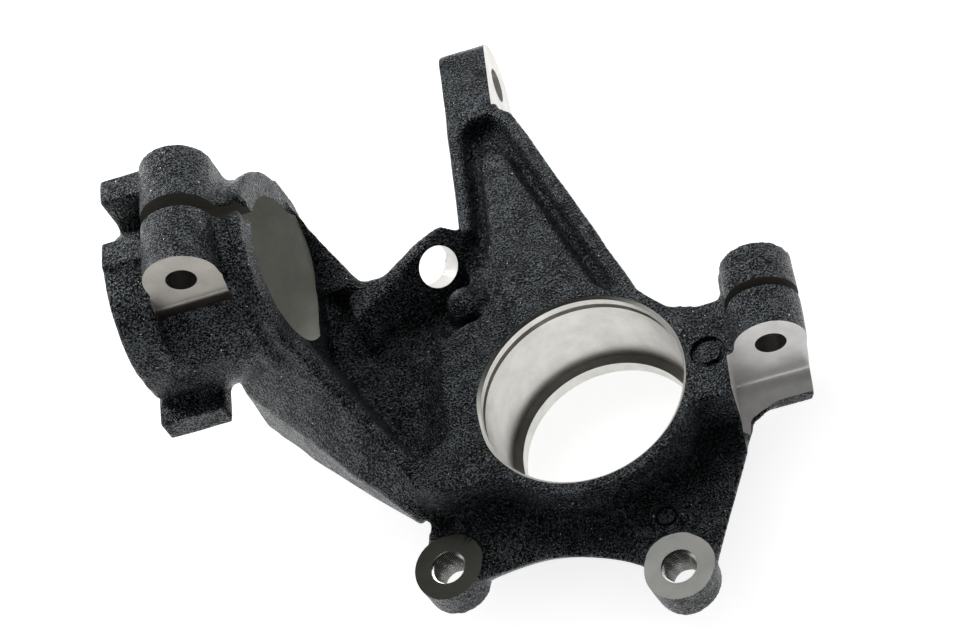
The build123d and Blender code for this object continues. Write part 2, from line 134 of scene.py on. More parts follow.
@dataclass(frozen=True)
class CutMetal:
    """Bare iron left by a tool."""

    name: str
    colour: tuple[float, float, float]
    roughness: float
    mark: ToolMark
    centre_mm: tuple[float, float, float] = (0.0, 0.0, 0.0)
    turn: tuple[float, float, float] = (0.0, 0.0, 0.0)
    pitch_m: float = 0.0006
    relief: float = 0.10
    metallic: float = 1.0
    mottle: float = 0.80
    streak_roughness: float = 0.12

    def material(self) -> bpy.types.Material:
        """Build the bare metal with its tool marks and a faint mottling.

        Returns:
            The node material.
        """
        sheet = NodeSheet(self.name)
        place = sheet.add("ShaderNodeTexCoord").outputs["Object"]
        centred = sheet.add("ShaderNodeMapping")
        centred.vector_type = "TEXTURE"
        centred.inputs["Location"].default_value = MM * (np.array(self.centre_mm) + LIFT)
        centred.inputs["Rotation"].default_value = self.turn
        sheet.link(place, centred.inputs["Vector"])
        lines = sheet.add("ShaderNodeTexWave")
        faced = self.mark is ToolMark.FACED
        lines.wave_type = "RINGS" if faced else "BANDS"
        if faced:
            lines.rings_direction = "Z"
        else:
            lines.bands_direction = "Z"
        lines.inputs["Scale"].default_value = 0.314 / self.pitch_m
        lines.inputs["Distortion"].default_value = 2.2
        lines.inputs["Detail"].default_value = 2.0
        lines.inputs["Detail Scale"].default_value = 0.4
        sheet.link(centred.outputs["Vector"], lines.inputs["Vector"])
        cloud = sheet.noise(place, 90.0, 4.0, 0.6)
        dark = tuple(self.mottle * v for v in self.colour)
        tone = sheet.ramp(cloud, 0.32, 0.68, dark, self.colour)
        sheet.link(tone, sheet.shader.inputs["Base Color"])
        rough = self.roughness + self.streak_roughness
        gloss = sheet.span(lines.outputs["Fac"], 0.0, 1.0, self.roughness, rough)
        sheet.link(gloss, sheet.shader.inputs["Roughness"])
        sheet.shader.inputs["Metallic"].default_value = self.metallic
        marks = sheet.bump(lines.outputs["Fac"], self.relief, 0.0002, None)
        sheet.link(marks, sheet.shader.inputs["Normal"])
        return sheet.material


Finish = CastSkin | CutMetal
SAWN_SLOT = CutMetal("sawn_slot", (0.11, 0.105, 0.09), 0.45, ToolMark.SAWN, metallic=0.3)
DRILLED = CutMetal("drilled_hole", (0.40, 0.39, 0.37), 0.42, ToolMark.SAWN)


class NodeSheet:
    """Small helper round one material's node tree."""

    def __init__(self, name: str) -> None:
        """Start an empty material with a Principled shader."""
        self.material = bpy.data.materials.new(name)
        self.material.use_nodes = True
        self.tree = self.material.node_tree
        self.shader = self.tree.nodes["Principled BSDF"]

    def add(self, kind: str) -> bpy.types.Node:
        """Add one node."""
        return self.tree.nodes.new(kind)

    def link(self, source: bpy.types.NodeSocket, target: bpy.types.NodeSocket) -> None:
        """Join two sockets."""
        self.tree.links.new(source, target)

    def noise(
        self, place: bpy.types.NodeSocket, scale: float, detail: float, rough: float
    ) -> bpy.types.NodeSocket:
        """Fractal noise read at a place, with features about 1 / scale metres wide."""
        node = self.add("ShaderNodeTexNoise")
        node.inputs["Scale"].default_value = scale
        node.inputs["Detail"].default_value = detail
        node.inputs["Roughness"].default_value = rough
        self.link(place, node.inputs["Vector"])
        return node.outputs["Fac"]

    def span(
        self, value: bpy.types.NodeSocket, low: float, high: float, out0: float, out1: float
    ) -> bpy.types.NodeSocket:
        """Map a value from low..high to out0..out1, held at both ends."""
        node = self.add("ShaderNodeMapRange")
        for socket, number in zip(list(node.inputs)[1:5], (low, high, out0, out1)):
            socket.default_value = number
        self.link(value, node.inputs["Value"])
        return node.outputs["Result"]

    def ramp(
        self,
        value: bpy.types.NodeSocket,
        low: float,
        high: float,
        dark: tuple[float, ...],
        light: tuple[float, ...],
    ) -> bpy.types.NodeSocket:
        """Colour from dark to light as the value goes from low to high."""
        node = self.add("ShaderNodeValToRGB")
        ends = node.color_ramp.elements
        ends[0].position, ends[0].color = low, (*dark, 1.0)
        ends[1].position, ends[1].color = high, (*light, 1.0)
        self.link(value, node.inputs["Fac"])
        return node.outputs["Color"]

    def total(
        self, first: bpy.types.NodeSocket, second: bpy.types.NodeSocket
    ) -> bpy.types.NodeSocket:
        """The sum of two number sockets."""
        node = self.add("ShaderNodeMath")
        self.link(first, node.inputs[0])
        self.link(second, node.inputs[1])
        return node.outputs[0]

    def blend(
        self,
        mask: bpy.types.NodeSocket,
        under: bpy.types.NodeSocket,
        over: tuple[float, float, float],
    ) -> bpy.types.NodeSocket:
        """The colour socket `under`, with the plain colour `over` where the mask is 1."""
        node = self.add("ShaderNodeMix")
        node.data_type = "RGBA"
        self.link(mask, node.inputs[0])
        self.link(under, node.inputs[6])
        node.inputs[7].default_value = (*over, 1.0)
        return node.outputs[2]

    def bump(
        self,
        height: bpy.types.NodeSocket,
        strength: float,
        distance: float,
        under: bpy.types.NodeSocket | None,
    ) -> bpy.types.NodeSocket:
        """Bump on top of another bump, if one is given."""
        node = self.add("ShaderNodeBump")
        node.inputs["Strength"].default_value = strength
        node.inputs["Distance"].default_value = distance
        self.link(height, node.inputs["Height"])
        if under is not None:
            self.link(under, node.inputs["Normal"])
        return node.outputs["Normal"]


def hold(
    name: str, points: np.ndarray, faces: list[list[int]], finish: Finish | None = None
) -> bpy.types.Object:
    """Put points and faces, given in millimetres, into a new object.

    The sizes in this file have z = 0 at the hub's inboard face, which lies LIFT
    above the frame's origin in the middle of the bearing seat.

    Args:
        name: Name of the object.
        points: Array of shape (n, 3).
        faces: Vertex indices of each face.
        finish: Finish of every face, if it has one.

    Returns:
        The object, linked to the scene.
    """
    mesh = bpy.data.meshes.new(name)
    mesh.from_pydata(((points + LIFT) * MM).tolist(), [], faces)
    if finish is not None:
        mesh.materials.append(finish_material(finish))
    thing = bpy.data.objects.new(name, mesh)
    bpy.context.scene.collection.objects.link(thing)
    return thing


def finish_material(finish: Finish) -> bpy.types.Material:
    """The finish's material, built once and then shared."""
    known = bpy.data.materials.get(finish.name)
    return known if known is not None else finish.material()


def axes_round(axis: tuple[float, ...]) -> tuple[np.ndarray, np.ndarray, np.ndarray]:
    """Two directions square to an axis, and the axis, each of unit length."""
    along = np.asarray(axis, float) / np.linalg.norm(axis)
    helper = np.eye(3)[int(np.argmin(np.abs(along)))]
    first = np.cross(helper, along)
    first /= np.linalg.norm(first)
    return first, np.cross(along, first), along


def turned(
    name: str,
    profile: np.ndarray,
    start: tuple[float, ...],
    axis: tuple[float, ...],
    finish: Finish | None = None,
    columns: int = 96,
) -> bpy.types.Object:
    """Solid of revolution: a point is start + t * axis + r * (cos a, sin a).

    Args:
        name: Name of the object.
        profile: Rows of (t, r), the first and last with r = 0.
        start: Point on the axis where t = 0.
        axis: Direction of the axis.
        finish: Finish of every face.
        columns: Points round each ring.

    Returns:
        The closed object.
    """
    profile = np.asarray(profile, float)
    angle = np.arange(columns) * TAU / columns
    rings = np.repeat(profile[1:-1, None, :], columns, axis=1)
    return tube(name, rings, angle, profile[[0, -1], 0], start, axis, finish)


def tube(
    name: str,
    rings: np.ndarray,
    angle: np.ndarray,
    ends: np.ndarray,
    start: tuple[float, ...],
    axis: tuple[float, ...],
    finish: Finish | None,
) -> bpy.types.Object:
    """Closed tube over a grid of (t, r) values, capped with a fan at each end.

    Args:
        name: Name of the object.
        rings: Array of shape (rows, columns, 2) with t and r of each point.
        angle: Angle of each column.
        ends: The t of both end points on the axis.
        start: Point on the axis where t = 0.
        axis: Direction of the axis.
        finish: Finish of every face.

    Returns:
        The closed object.
    """
    first, second, along = axes_round(axis)
    rows, columns = rings.shape[:2]
    spoke = np.cos(angle)[:, None] * first + np.sin(angle)[:, None] * second
    origin = np.asarray(start, float)
    grid = origin + rings[..., :1] * along + rings[..., 1:] * spoke
    poles = origin + ends[:, None] * along
    points = np.vstack([grid.reshape(-1, 3), poles])
    near = np.arange(rows * columns).reshape(rows, columns)
    beside = np.roll(near, -1, axis=1)
    quads = np.stack([near[:-1], beside[:-1], beside[1:], near[1:]], axis=-1).reshape(-1, 4)
    low, high = rows * columns, rows * columns + 1
    base = np.stack([np.full(columns, low), beside[0], near[0]], axis=-1)
    cap = np.stack([np.full(columns, high), near[-1], beside[-1]], axis=-1)
    faces = quads.tolist() + base.tolist() + cap.tolist()
    return hold(name, points, faces, finish)


def drilled(
    name: str,
    start: tuple[float, ...],
    axis: tuple[float, ...],
    length: float,
    radius: float,
    finish: Finish | None = None,
) -> bpy.types.Object:
    """Plain cylinder from a start point along an axis."""
    profile = np.array([(0, 0), (0, radius), (length, radius), (length, 0)], float)
    return turned(name, profile, start, axis, finish, 64)


def extruded(
    name: str,
    outline: np.ndarray,
    origin: tuple[float, ...],
    across: tuple[float, ...],
    up: tuple[float, ...],
    length: float,
    finish: Finish | None = None,
) -> bpy.types.Object:
    """Prism: a point is origin + u * across + v * up + w * (across x up).

    w goes from 0 to length.

    Args:
        name: Name of the object.
        outline: Rows of (u, v), counter-clockwise.
        origin: Point where u = v = 0.
        across: Direction of u.
        up: Direction of v.
        length: Depth of the prism.
        finish: Finish of every face.

    Returns:
        The closed object.
    """
    outline = np.asarray(outline, float)
    u, v = np.asarray(across, float), np.asarray(up, float)
    near = np.asarray(origin, float) + outline[:, :1] * u + outline[:, 1:] * v
    points = np.vstack([near, near + length * np.cross(u, v)])
    count = len(outline)
    index = np.arange(count)
    after = np.roll(index, -1)
    sides = np.stack([index, after, after + count, index + count], axis=-1).tolist()
    faces = [index[::-1].tolist(), (index + count).tolist(), *sides]
    return hold(name, points, faces, finish)


def slab(
    name: str, low: tuple[float, ...], high: tuple[float, ...], finish: Finish | None = None
) -> bpy.types.Object:
    """Block between two corners."""
    (x0, y0, z0), (x1, y1, z1) = low, high
    outline = np.array([(x0, y0), (x1, y0), (x1, y1), (x0, y1)])
    return extruded(name, outline, (0, 0, z0), X_AXIS, Y_AXIS, z1 - z0, finish)


def scooped(
    low: tuple[float, float], high: tuple[float, float], radius: float
) -> np.ndarray:
    """Outline of a rectangle whose corner at (high u, low v) carries a tool radius.

    The corner's points are centre + radius * (cos a, sin a), a from -90 to 0 degrees.

    Args:
        low: Least u and v.
        high: Greatest u and v.
        radius: Radius of the tool's corner.

    Returns:
        Rows of (u, v), counter-clockwise.
    """
    angle = np.linspace(-np.pi / 2, 0, 9)
    corner = np.column_stack([
        high[0] - radius + radius * np.cos(angle),
        low[1] + radius + radius * np.sin(angle),
    ])
    return np.vstack([[low], corner, [high], [(low[0], high[1])]])


@dataclass
class Feature:
    """A machined feature: stock to add before the skin is made, and cuts after."""

    stock: list[bpy.types.Object] = field(default_factory=list)
    cuts: list[bpy.types.Object] = field(default_factory=list)


@dataclass
class BearingSeat:
    """Bore for the wheel bearing, its circlip groove and its end shoulder."""

    radius: float = 41.0
    setback: float = 6.9
    width: float = 36.0
    depth: float = 48.8
    shoulder: float = 37.1
    groove_width: float = 2.6
    groove_depth: float = 2.2
    chamfer: float = 1.2
    wall: CutMetal = CutMetal(
        "bored_seat", (0.80, 0.79, 0.75), 0.30, ToolMark.BORED, pitch_m=0.0009, relief=0.08
    )

    def build(self) -> Feature:
        """Stock plug and the stepped cutter."""
        r, end = self.radius, -(self.setback + self.width)
        groove = -self.setback + self.groove_width
        profile = [
            (-self.depth - 3, 0),
            (-self.depth - 3, self.shoulder),
            (end, self.shoulder),
            (end, r),
            (-self.setback, r),
            (-self.setback, r + self.groove_depth),
            (groove, r + self.groove_depth),
            (groove, r),
            (-self.chamfer, r),
            (3.0, r + self.chamfer + 3.0),
            (3.0, 0),
        ]
        plug = drilled("plug", (0, 0, -self.depth), Z_AXIS, self.depth, r + 3.5)
        cut = turned("seat_cut", profile, (0, 0, 0), Z_AXIS, self.wall, 192)
        return Feature([plug], [cut])


@dataclass
class CaliperEar:
    """One tapped boss for the brake caliper."""

    label: str
    centre: tuple[float, float]
    metal: CutMetal
    top: float = -17.8
    radius: float = 13.8
    length: float = 16.0
    core: float = 6.1
    pitch: float = 1.5
    thread_depth: float = 0.85
    mouth: float = 7.0
    tapped: CutMetal = CutMetal(
        "tapped_hole", (0.72, 0.72, 0.70), 0.22, ToolMark.FACED, relief=0.0
    )

    def build(self) -> Feature:
        """Boss stock, the facing cut and the thread cut.

        The thread's radius is core + depth * |2 * frac(t / pitch - a / turn) - 1|.
        """
        x, y = self.centre
        far = self.length + 2.5
        profile = [(0, 0), (0, self.radius - 1.0), (far, self.radius), (far, 0)]
        stock = turned(f"{self.label}_stock", profile, (x, y, self.top - self.length), Z_AXIS)
        face = drilled(
            f"{self.label}_face", (x, y, self.top), Z_AXIS, 8.0, self.radius + 1.6, self.metal
        )
        columns = 48
        angle = np.arange(columns) * TAU / columns
        t = np.linspace(-self.length - 3, 1.5, 150)
        phase = (t[:, None] / self.pitch - angle[None, :] / TAU) % 1.0
        radius = self.core + self.thread_depth * np.abs(2 * phase - 1)
        radius = np.where(t[:, None] > -1.0, self.mouth, radius)
        rings = np.stack([np.broadcast_to(t[:, None], radius.shape), radius], axis=-1)
        thread = tube(
            f"{self.label}_thread",
            rings,
            angle,
            t[[0, -1]],
            (x, y, self.top),
            Z_AXIS,
            self.tapped,
        )
        return Feature([stock], [face, thread])


@dataclass
class BallJointClamp:
    """Split boss for the lower ball joint."""

    x: float = 75.7
    bolt_z: float = 0.4
    radius: float = 14.2
    bolt_radius: float = 6.1
    face_y: float = -4.0
    top_y: float = 34.0
    lip_y: float = -13.5
    floor_z: float = -24.5
    bottom_z: float = -31.0
    shift: float = -5.7
    width: float = 28.0
    stud_radius: float = 9.5
    stud_drop: float = 13.8
    slot: float = 3.8
    tool: float = 5.0
    milled: CutMetal = CutMetal(
        "milled_boss",
        (0.88, 0.87, 0.85),
        0.28,
        ToolMark.SAWN,
        turn=(0.0, QUARTER_TURN, 0.0),
        pitch_m=0.0008,
        metallic=0.5,
    )

    def build(self) -> Feature:
        """Boss stock, then the spot face, bolt hole, slot and stud bore."""
        x0 = self.x + self.shift - self.width / 2
        x1 = x0 + self.width
        section = np.array([
            (x1, self.bottom_z),
            (x0 + 3, self.bottom_z),
            (x0, self.floor_z),
            (self.x - self.radius, self.bolt_z),
            (self.x + self.radius, self.bolt_z),
        ])
        reach = self.face_y - self.lip_y + 2
        lump = extruded("ball_stock", section, (0, self.lip_y, 0), X_AXIS, Z_AXIS, -reach)
        round_stock = drilled(
            "ball_round",
            (self.x, self.lip_y, self.bolt_z),
            Y_AXIS,
            self.top_y - self.lip_y,
            self.radius,
        )
        bore_fill = slab(
            "ball_fill",
            (x0 + 4, self.face_y, -26),
            (self.x + self.radius - 5, self.top_y, self.bolt_z),
        )
        scoop = extruded(
            "ball_face",
            scooped((self.lip_y - 12, self.floor_z), (self.face_y, 40.0), self.tool),
            (self.x - self.radius - 0.2, 0, 0),
            Y_AXIS,
            Z_AXIS,
            2 * self.radius + 8,
            self.milled,
        )
        lean = -self.shift / (self.bolt_z - self.floor_z)
        lean_side(scoop, self.x - self.radius, self.bolt_z, lean)
        bolt = drilled(
            "ball_bolt",
            (self.x, self.face_y - 1, self.bolt_z),
            Y_AXIS,
            60,
            self.bolt_radius,
            DRILLED,
        )
        stud_z = self.bolt_z - self.stud_drop
        middle = (self.face_y + self.top_y) / 2
        stud = drilled(
            "ball_stud",
            (self.x - self.radius - 4, middle, stud_z),
            X_AXIS,
            50,
            self.stud_radius,
            DRILLED,
        )
        slit = slab(
            "ball_slit",
            (self.x - self.radius - 0.2, middle - self.slot / 2, stud_z),
            (self.x + self.radius + 5, middle + self.slot / 2, 40),
            SAWN_SLOT,
        )
        return Feature([lump, round_stock, bore_fill], [scoop, bolt, stud, slit])


def places(mesh: bpy.types.Mesh) -> np.ndarray:
    """The mesh's points, in metres, one per row."""
    flat = np.empty(len(mesh.vertices) * 3)
    mesh.vertices.foreach_get("co", flat)
    return flat.reshape(-1, 3)


def lean_side(thing: bpy.types.Object, x: float, top_z: float, lean: float) -> None:
    """Lean the low-X side of a cutter.

    Below top_z its points move by -(top_z - z) * lean.
    """
    mesh = thing.data
    points = places(mesh)
    drop = np.maximum((top_z + LIFT[2]) * MM - points[:, 2], 0.0)
    points[:, 0] -= np.where(points[:, 0] < (x + 1) * MM, drop * lean, 0.0)
    mesh.vertices.foreach_set("co", points.ravel())


@dataclass
class StrutClamp:
    """Split barrel for the strut, with its bore, slit and pinch bolt."""

    y: float = 67.5
    z: float = 38.0
    mouth_x: float = -102.0
    end_x: float = -165.0
    radius: float = 30.0
    tilt_deg: float = 5.5
    pinch_x: float = -131.7
    pinch_z: float = 76.4
    pinch_radius: float = 15.0
    bolt_radius: float = 6.1
    face_y: float = 45.0
    far_y: float = 101.0
    face_depth: float = 15.4
    slot: float = 6.3
    slot_shift: float = 5.3
    tool: float = 3.0
    bored: CutMetal = CutMetal(
        "bored_strut",
        (0.42, 0.42, 0.38),
        0.42,
        ToolMark.BORED,
        turn=(0.0, QUARTER_TURN, 0.0),
        pitch_m=0.0009,
        relief=0.6,
        metallic=0.15,
    )
    spot: CutMetal = CutMetal(
        "spot_face",
        (0.40, 0.38, 0.35),
        0.36,
        ToolMark.FACED,
        (-131.7, 45.0, 76.4),
        (QUARTER_TURN, 0.0, 0.0),
    )

    def build(self) -> Feature:
        """Plug and ear stock, then the bore, slit, spot face and bolt hole."""
        lean = np.tan(np.radians(self.tilt_deg))
        length = self.mouth_x - self.end_x
        start = (self.end_x, self.y, self.z)
        plug = drilled("strut_plug", start, X_AXIS, length, self.radius + 2)
        shift_end(plug, self.mouth_x, self.z, lean)
        ears = drilled(
            "pinch_round",
            (self.pinch_x, self.face_y - 3, self.pinch_z),
            Y_AXIS,
            self.far_y - self.face_y + 3,
            self.pinch_radius,
        )
        back = self.pinch_x - self.pinch_radius
        block = slab(
            "pinch_stock",
            (back, self.face_y - 2.5, self.pinch_z - self.face_depth - 1),
            (self.pinch_x + self.pinch_radius, self.far_y, self.pinch_z),
        )
        profile = [
            (-6, 0),
            (-6, self.radius),
            (length, self.radius),
            (length + 2.5, self.radius + 1.0),
            (length + 2.5, 0),
        ]
        bore = turned("strut_bore", profile, start, X_AXIS, self.bored, 160)
        middle = self.y + self.slot_shift
        low, high = middle - self.slot / 2, middle + self.slot / 2
        slit = slab(
            "strut_slit",
            (back - 2, low, self.z + self.radius - 12),
            (self.mouth_x + 9, high, self.z + 80),
            SAWN_SLOT,
        )
        scoop = extruded(
            "pinch_face",
            scooped(
                (self.face_y - 30, self.pinch_z - self.face_depth),
                (self.face_y, self.pinch_z + 30),
                self.tool,
            ),
            (back - 1, 0, 0),
            Y_AXIS,
            Z_AXIS,
            2 * self.pinch_radius + 1.5,
            self.spot,
        )
        bolt = drilled(
            "pinch_bolt",
            (self.pinch_x, self.face_y - 1, self.pinch_z),
            Y_AXIS,
            80,
            self.bolt_radius,
            DRILLED,
        )
        return Feature([plug, ears, block], [bore, slit, scoop, bolt])


def shift_end(thing: bpy.types.Object, mouth_x: float, mid_z: float, lean: float) -> None:
    """Lean the far cap of a plug: its points move in X by -(z - mid_z) * lean."""
    mesh = thing.data
    points = places(mesh)
    at_end = np.abs(points[:, 0] - mouth_x * MM) < 1e-6
    points[at_end, 0] -= (points[at_end, 2] - (mid_z + LIFT[2]) * MM) * lean
    mesh.vertices.foreach_set("co", points.ravel())


@dataclass
class TrackRodEye:
    """Faced end of the steering arm with its hole."""

    face_x: float = -20.0
    left_x: float = -41.0
    y: float = 175.7
    z: float = -15.8
    radius: float = 18.5
    hole: float = 7.5
    foot_y: float = 152.5
    milled: CutMetal = CutMetal(
        "milled_eye",
        (0.72, 0.71, 0.68),
        0.38,
        ToolMark.SAWN,
        turn=(QUARTER_TURN, 0.0, 0.0),
        pitch_m=0.0008,
    )

    def build(self) -> Feature:
        """Extra metal on the face, then the facing cut and the hole."""
        stock = extruded(
            "eye_round", self.flattened(), (self.face_x - 6, 0, 0), Y_AXIS, Z_AXIS, 8.0
        )
        above = slab("eye_fill", (-40, self.y - 10, -24), (self.face_x - 1, self.y + 9, -3))
        face = slab(
            "eye_face",
            (self.face_x, self.foot_y, -60),
            (self.face_x + 12, self.y + 40, 20),
            self.milled,
        )
        start = (self.left_x - 3, self.y, self.z)
        hole = drilled("eye_hole", start, X_AXIS, 40, self.hole, self.milled)
        return Feature([above, stock], [face, hole])

    def flattened(self) -> np.ndarray:
        """Outline of the eye in (y, z): a circle cut off at z = 0, and the arm before it."""
        angle = np.linspace(-np.pi + 0.6, np.arcsin(-self.z / self.radius), 40)
        rim = np.column_stack([
            self.y + self.radius * np.cos(angle), self.z + self.radius * np.sin(angle)
        ])
        return np.vstack([rim, [(self.foot_y, 0.0), (self.foot_y, -8.0)]])


@dataclass
class SensorHole:
    """Slanted hole for the wheel-speed sensor."""

    at: tuple[float, float, float] = (-50.9, 76.4, 0.0)
    axis: tuple[float, float, float] = (0.577, -0.66, 0.476)
    radius: float = 8.75
    plug_length: float = 7
    drilled_wall: CutMetal = CutMetal("drilled_sensor", (0.66, 0.65, 0.62), 0.33, ToolMark.SAWN)

    def build(self) -> Feature:
        """Plug and hole on one slanted axis."""
        axis = np.array(self.axis) / np.linalg.norm(self.axis)
        start = np.array(self.at) - 40 * axis
        foot = tuple(np.array(self.at) - self.plug_length * axis)
        plug = drilled("sensor_plug", foot, self.axis, self.plug_length, self.radius + 1)
        cut = drilled("sensor_cut", tuple(start), self.axis, 46, self.radius, self.drilled_wall)
        return Feature([plug], [cut])


@dataclass
class CastMark:
    """Plain ring sunk into the cast skin."""

    label: str
    centre: tuple[float, float, float]
    outer: float
    inner: float
    depth: float

    def build(self) -> Feature:
        """A ring-shaped cutter that carries the skin's own finish."""
        angle = np.arange(64) * TAU / 64
        over = 4.0
        section = [
            (-self.depth, self.inner),
            (-self.depth, self.outer),
            (over, self.outer),
            (over, self.inner),
        ]
        rings = np.repeat(np.array(section)[:, None, :], len(angle), axis=1)
        first, second, along = axes_round(Z_AXIS)
        spoke = np.cos(angle)[:, None] * first + np.sin(angle)[:, None] * second
        points = np.asarray(self.centre) + rings[..., :1] * along + rings[..., 1:] * spoke
        near = np.arange(4 * len(angle)).reshape(4, -1)
        beside = np.roll(near, -1, axis=1)
        below, under = np.roll(near, -1, axis=0), np.roll(beside, -1, axis=0)
        quads = np.stack([near, beside, under, below], axis=-1).reshape(-1, 4)
        ring = hold(self.label, points.reshape(-1, 3), quads.tolist(), CastSkin())
        return Feature([], [ring])


@dataclass
class Casting:
    """The whole knuckle: the cast skin with everything cut into it."""

    voxel: float = 1.3
    smoothing: int = 4
    ripple_mm: float = 0.22
    waves: int = 24
    wave_mm: tuple[float, float] = (14.0, 40.0)
    seed: int = 7
    skin: CastSkin = CastSkin()

    def build(self, node: bpy.types.Object, features: list[Feature]) -> bpy.types.Object:
        """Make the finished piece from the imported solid.

        Args:
            node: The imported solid's object.
            features: Machined features to cut.

        Returns:
            The finished piece.
        """
        blank = self.blank(node, [o for f in features for o in f.stock])
        skin = self.cast(blank, np.array([corner[:] for corner in node.bound_box]))
        piece = self.machine(skin, [o for f in features for o in f.cuts])
        bpy.data.objects.remove(blank)
        bpy.data.objects.remove(skin)
        for feature in features:
            for tool in feature.stock + feature.cuts:
                bpy.data.objects.remove(tool)
        return piece

    def blank(
        self, node: bpy.types.Object, stock: list[bpy.types.Object]
    ) -> bpy.types.Object:
        """One mesh of the merged solid and its stock, still overlapping."""
        form = bmesh.new()
        form.from_mesh(node.data)
        bmesh.ops.remove_doubles(form, verts=form.verts, dist=1e-6)
        for piece in stock:
            form.from_mesh(piece.data)
        mesh = bpy.data.meshes.new("blank")
        form.to_mesh(mesh)
        form.free()
        mesh.materials.clear()
        thing = bpy.data.objects.new("blank", mesh)
        bpy.context.scene.collection.objects.link(thing)
        return thing

    def cast(self, blank: bpy.types.Object, box: np.ndarray) -> bpy.types.Object:
        """Voxel skin, smoothed, rippled along its normals and kept inside a box.

        The ripple is a sum of plane waves of random direction, wave_mm long.

        Args:
            blank: The merged solid and its stock.
            box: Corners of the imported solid's box, one per row.

        Returns:
            The skin.
        """
        remesh = blank.modifiers.new("voxels", "REMESH")
        remesh.mode = "VOXEL"
        remesh.voxel_size = self.voxel * MM
        smooth = blank.modifiers.new("soften", "SMOOTH")
        smooth.factor = 0.5
        smooth.iterations = self.smoothing
        mesh = baked(blank, "skin")
        points = places(mesh)
        normals = np.empty(points.size)
        mesh.vertex_normals.foreach_get("vector", normals)
        normals = normals.reshape(-1, 3)
        rng = np.random.default_rng(self.seed)
        heading = rng.normal(size=(self.waves, 3))
        heading /= np.linalg.norm(heading, axis=1, keepdims=True)
        wave = TAU / (rng.uniform(*self.wave_mm, self.waves) * MM)
        phase = rng.uniform(0, TAU, self.waves)
        swell = np.sin(points @ (heading * wave[:, None]).T + phase).sum(axis=1)
        swell /= np.sqrt(self.waves / 2)
        points += normals * (self.ripple_mm * MM * 0.5 * swell)[:, None]
        points = np.clip(points, box.min(axis=0), box.max(axis=0))
        mesh.vertices.foreach_set("co", points.ravel())
        mesh.materials.append(finish_material(self.skin))
        skin = bpy.data.objects.new("skin", mesh)
        bpy.context.scene.collection.objects.link(skin)
        return skin

    def machine(
        self, skin: bpy.types.Object, cutters: list[bpy.types.Object]
    ) -> bpy.types.Object:
        """Cut every tool shape out of the skin; each cut face keeps its tool's finish."""
        group = bpy.data.collections.new("cutters")
        for tool in cutters:
            group.objects.link(tool)
        cut = skin.modifiers.new("machining", "BOOLEAN")
        cut.operation = "DIFFERENCE"
        cut.operand_type = "COLLECTION"
        cut.collection = group
        cut.solver = "EXACT"
        cut.material_mode = "TRANSFER"
        mesh = baked(skin, "knuckle")
        mesh.shade_smooth()
        mesh.set_sharp_from_angle(angle=np.radians(SHARP_EDGE_DEG))
        piece = bpy.data.objects.new("knuckle", mesh)
        bpy.context.scene.collection.objects.link(piece)
        bpy.data.collections.remove(group)
        return piece


def baked(thing: bpy.types.Object, name: str) -> bpy.types.Mesh:
    """A new mesh of the object with its modifiers applied."""
    graph = bpy.context.evaluated_depsgraph_get()
    mesh = bpy.data.meshes.new_from_object(thing.evaluated_get(graph), depsgraph=graph)
    mesh.name = name
    return mesh


